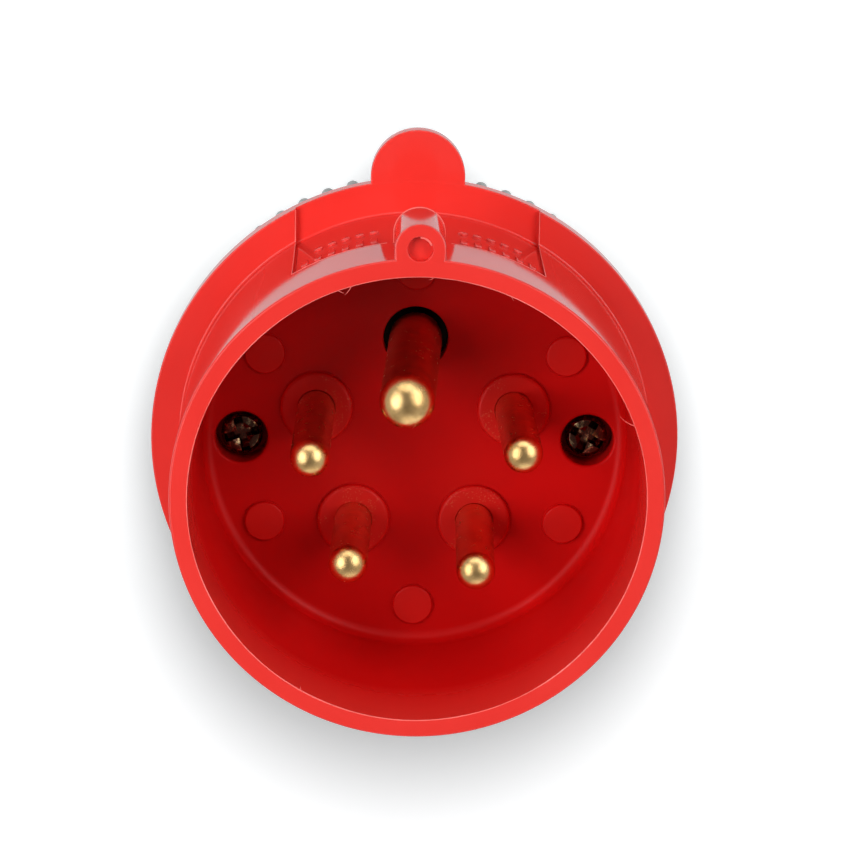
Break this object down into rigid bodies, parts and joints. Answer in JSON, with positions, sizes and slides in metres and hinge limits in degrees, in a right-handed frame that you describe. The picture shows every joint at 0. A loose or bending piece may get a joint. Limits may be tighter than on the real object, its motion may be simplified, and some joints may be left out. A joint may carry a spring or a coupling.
{
  "type": "industrial pin and sleeve plug",
  "caption": "Red round industrial plug with a deep shroud, five brass pins, a top key and lug, a ribbed grey rear housing and a cable gland nut.",
  "frame": {"origin": "centre of the cable entry at the rear face of the gland nut, on which the plug stands", "axes": "+Z along the pins towards the rim of the shroud, +Y towards the key and the top lug"},
  "size_m": [0.0702, 0.0768, 0.116],
  "materials": {
    "red_moulding": "smooth moulded",
    "grey_moulding": "fine moulded texture",
    "insulator": "moulded",
    "brass": "polished",
    "plated_screw": "yellow zinc plated",
    "rubber_seal": "matt"
  },
  "bodies": {
    "plug_body": {"front_housing": "red_moulding", "contact_carrier": "insulator", "pin_earth": "brass", "pin_l1": "brass", "pin_l2": "brass", "pin_l3": "brass", "pin_neutral": "brass", "terminal_screw_earth": "plated_screw", "terminal_screw_l1": "plated_screw", "terminal_screw_l2": "plated_screw", "terminal_screw_l3": "plated_screw", "terminal_screw_neutral": "plated_screw", "housing_screw_left": "plated_screw", "housing_screw_right": "plated_screw", "screw_bush_left": "brass", "screw_bush_right": "brass", "flange_gasket": "rubber_seal", "rear_housing": "grey_moulding", "cable_grommet": "rubber_seal"},
    "thrust_ring": {"gland_ring": "insulator"},
    "nut": {"gland_nut": "grey_moulding"}
  },
  "joints": [
    {"name": "gland_travel", "type": "slide", "parent": "plug_body", "child": "thrust_ring", "axis": [0, 0, -1], "range_m": [0, 0.008]},
    {"name": "gland_turn", "type": "hinge", "parent": "thrust_ring", "child": "nut", "pos_m": [0, 0, 0], "axis": [0, 0, -1], "range_deg": [0, 1440]}
  ],
  "couplings": [
    {"joint": "gland_travel", "follows": "gland_turn", "m_per_rad": 0.00031831}
  ]
}
